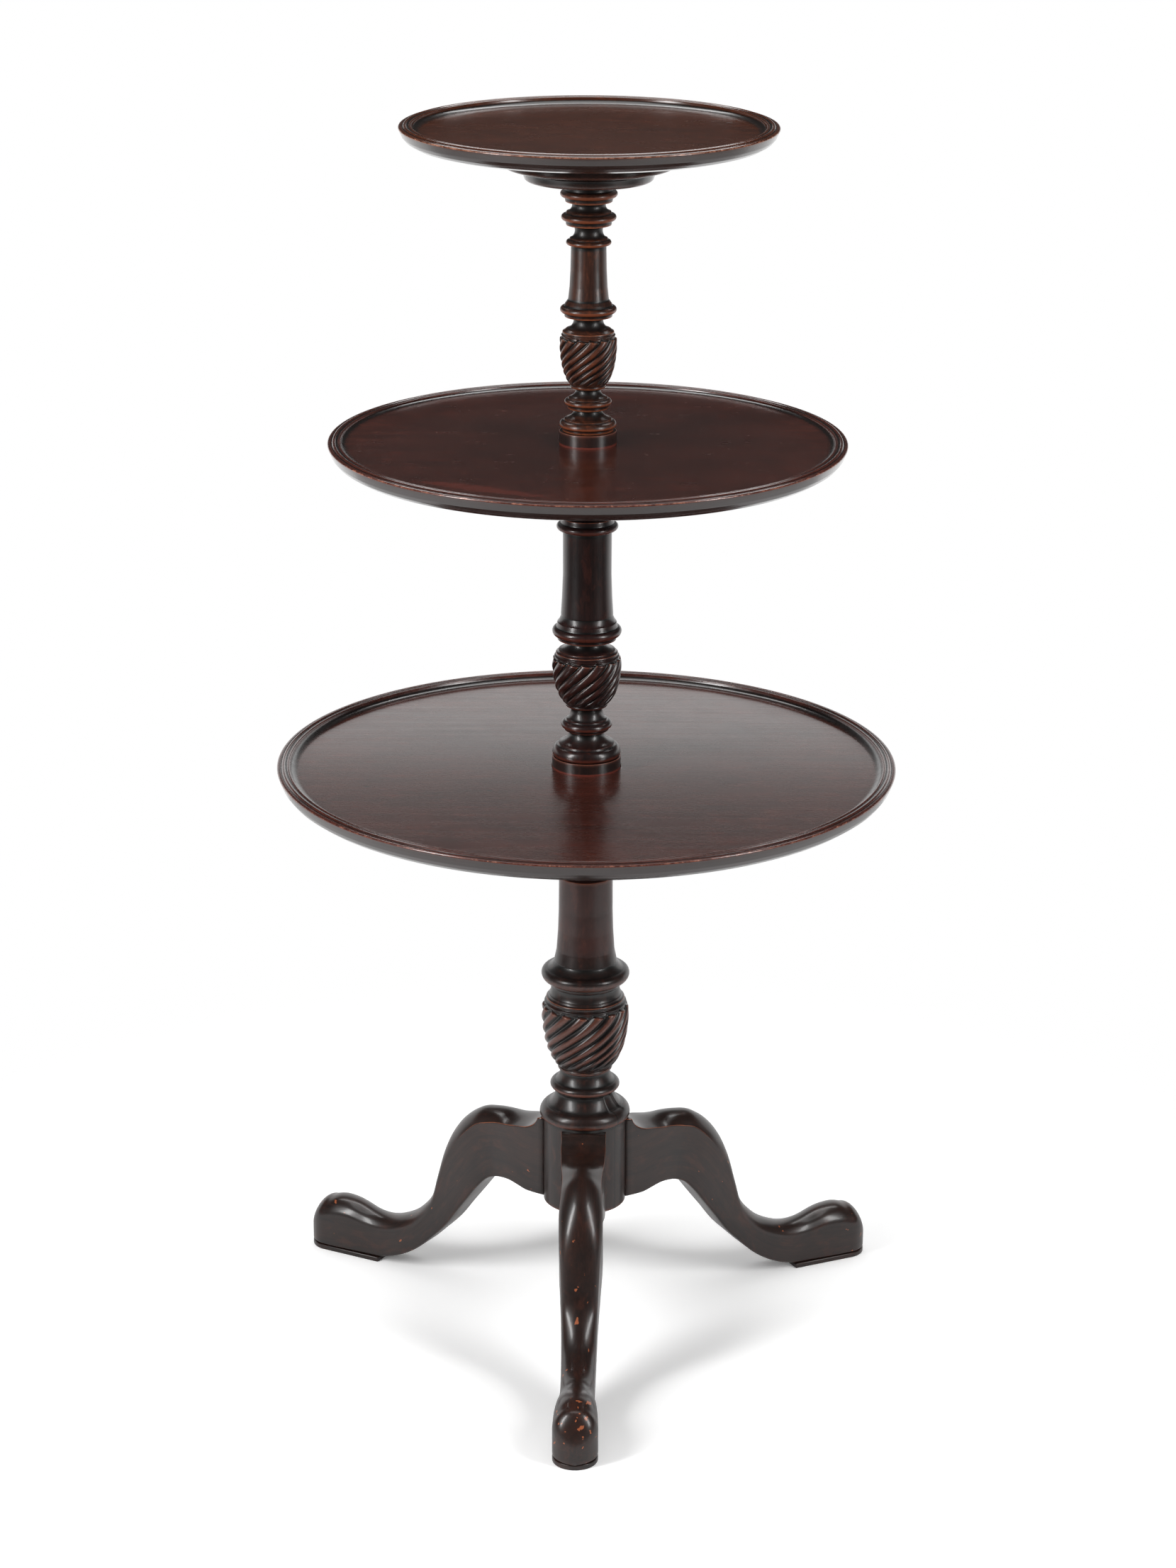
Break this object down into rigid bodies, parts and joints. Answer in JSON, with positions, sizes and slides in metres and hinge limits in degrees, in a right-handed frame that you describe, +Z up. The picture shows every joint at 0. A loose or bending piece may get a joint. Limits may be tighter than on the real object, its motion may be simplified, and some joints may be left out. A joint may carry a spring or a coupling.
{
  "type": "dumbwaiter table",
  "caption": "Tiered round dumbwaiter table: dished trays of falling size turn on a turned and spirally carved column that stands on splayed cabriole legs.",
  "frame": {"origin": "On the floor under the middle of the bounding box; the column's axis stands 16.25 mm behind it, at y = +0.01625 m.", "axes": "+Z up along the column. The front foot points along -Y; +X is right seen from the front."},
  "size_m": [0.6, 0.6324, 1.2117],
  "materials": {
    "column_wood": "very dark mahogany, gloss french polish, black patina in the hollows",
    "leg_wood": "very dark mahogany, gloss french polish, worn at feet and knees",
    "tray_wood": "dark red-brown mahogany, waxed gloss",
    "screw_steel": "dull aged steel"
  },
  "bodies": {
    "column": {"base_pillar": "column_wood", "middle_pillar": "column_wood", "upper_pillar": "column_wood", "leg_front": "leg_wood", "leg_right": "leg_wood", "leg_left": "leg_wood", "foot_sole_front": "leg_wood", "foot_sole_right": "leg_wood", "foot_sole_left": "leg_wood"},
    "lower_tier": {"lower_tray": "tray_wood", "lower_boss": "tray_wood", "lower_collar": "column_wood", "lower_boss_screw_1": "screw_steel", "lower_boss_screw_2": "screw_steel", "lower_boss_screw_3": "screw_steel"},
    "middle_tier": {"middle_tray": "tray_wood", "middle_boss": "tray_wood", "middle_collar": "column_wood", "middle_boss_screw_1": "screw_steel", "middle_boss_screw_2": "screw_steel", "middle_boss_screw_3": "screw_steel"},
    "top_tier": {"top_tray": "tray_wood", "top_boss": "tray_wood", "top_boss_screw_1": "screw_steel", "top_boss_screw_2": "screw_steel", "top_boss_screw_3": "screw_steel"}
  },
  "joints": [
    {"name": "lower_tier_turn", "type": "hinge", "parent": "column", "child": "lower_tier", "pos_m": [0, 0.01625, 0.588], "axis": [0, 0, 1], "continuous": true},
    {"name": "middle_tier_turn", "type": "hinge", "parent": "column", "child": "middle_tier", "pos_m": [0, 0.01625, 0.91], "axis": [0, 0, 1], "continuous": true},
    {"name": "top_tier_turn", "type": "hinge", "parent": "column", "child": "top_tier", "pos_m": [0, 0.01625, 1.2047], "axis": [0, 0, 1], "continuous": true}
  ]
}
